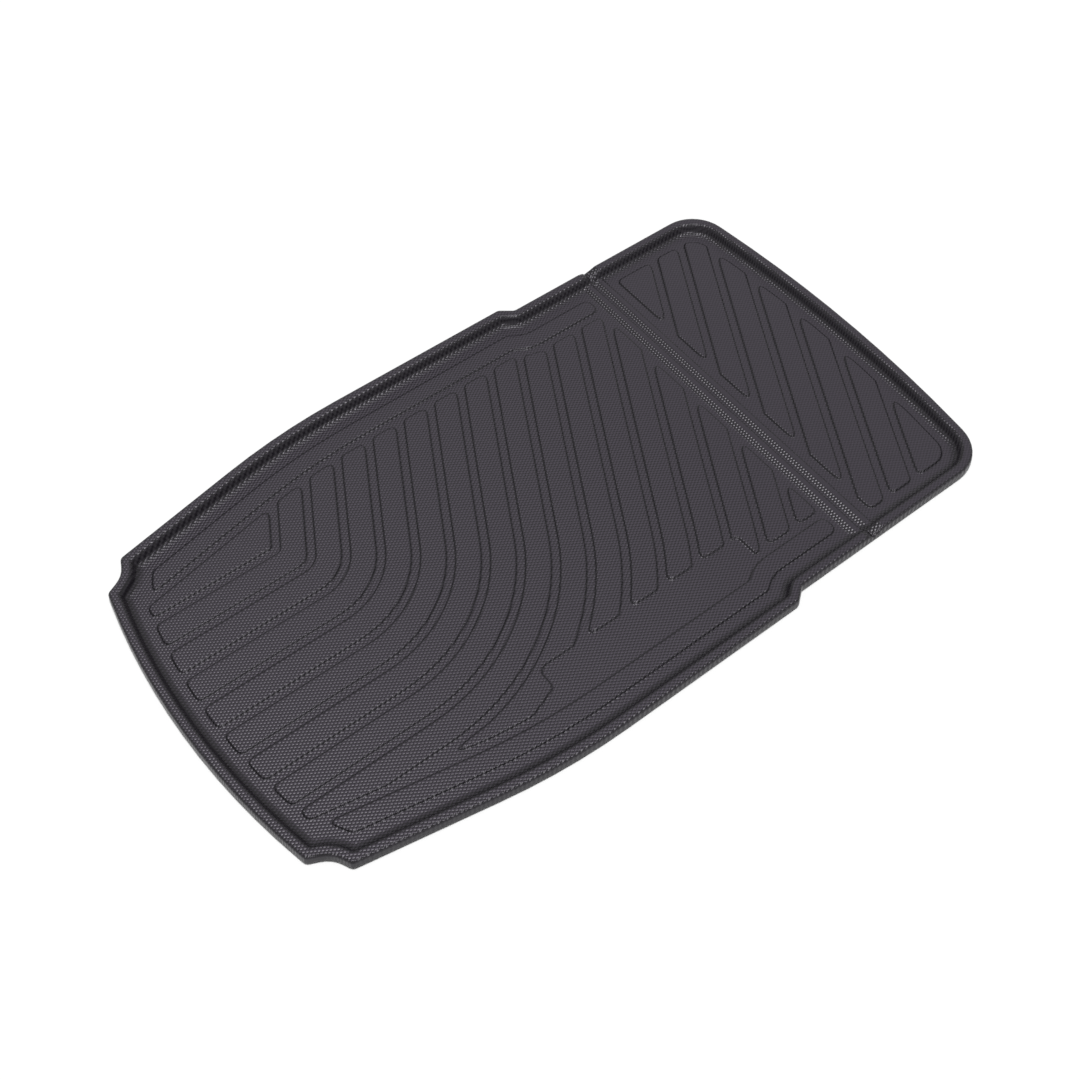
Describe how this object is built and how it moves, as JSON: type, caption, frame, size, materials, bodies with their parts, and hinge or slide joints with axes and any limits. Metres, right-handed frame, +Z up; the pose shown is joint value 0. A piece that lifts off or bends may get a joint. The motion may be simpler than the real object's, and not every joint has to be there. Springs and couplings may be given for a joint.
{
  "type": "all-weather car mat",
  "caption": "Dark rubber floor mat: a raised rim round a shallow tray with bent and slanting anti-slip pads, border strips and a fold line across it.",
  "frame": {"origin": "middle of the mat's outer box, on the ground that its underside lies on", "axes": "+X along the mat's length towards the panel past the fold line, +Y across it, +Z up out of the tray"},
  "size_m": [0.9021, 0.5258, 0.014],
  "materials": {
    "dark_rubber": "matte, with fine raised dots"
  },
  "bodies": {
    "root": {"floor_mat": "dark_rubber"}
  },
  "joints": []
}
